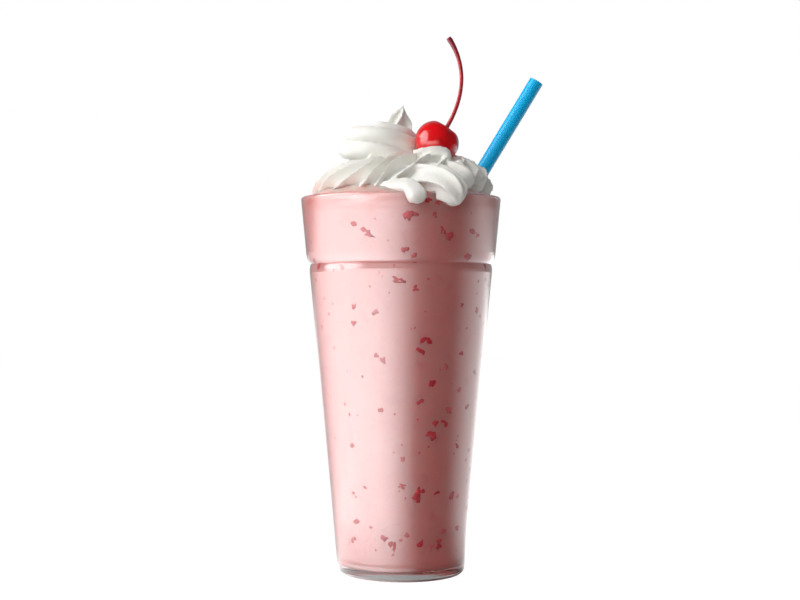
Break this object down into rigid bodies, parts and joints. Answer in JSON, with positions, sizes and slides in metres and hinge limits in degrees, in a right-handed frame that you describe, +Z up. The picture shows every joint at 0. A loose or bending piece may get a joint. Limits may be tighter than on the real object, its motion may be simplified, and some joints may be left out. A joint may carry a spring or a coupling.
{
  "type": "strawberry milkshake in a glass",
  "caption": "Tall stepped glass filled to the brim with pink strawberry milkshake, topped with piped whipped cream, a stemmed cherry and a leaning straw.",
  "frame": {"origin": "centre of the underside of the glass's base", "axes": "+Z up along the glass's axis, -Y towards the front where the cream drips over the rim, +X to the side that the straw leans to"},
  "size_m": [0.1102, 0.0946, 0.2415],
  "materials": {
    "clear_glass": "clear and polished",
    "strawberry_shake": "thick opaque pink drink, wet, with strawberry bits",
    "cream": "soft satin whipped cream",
    "cherry_flesh": "glossy syrup-coated cherry",
    "cherry_stem": "satin dark red stem",
    "straw_plastic": "smooth blue drinking straw"
  },
  "bodies": {
    "root": {"glass": "clear_glass", "milkshake": "strawberry_shake", "whipped_cream": "cream", "cherry": "cherry_flesh", "cherry_stem": "cherry_stem", "straw": "straw_plastic"}
  },
  "joints": []
}
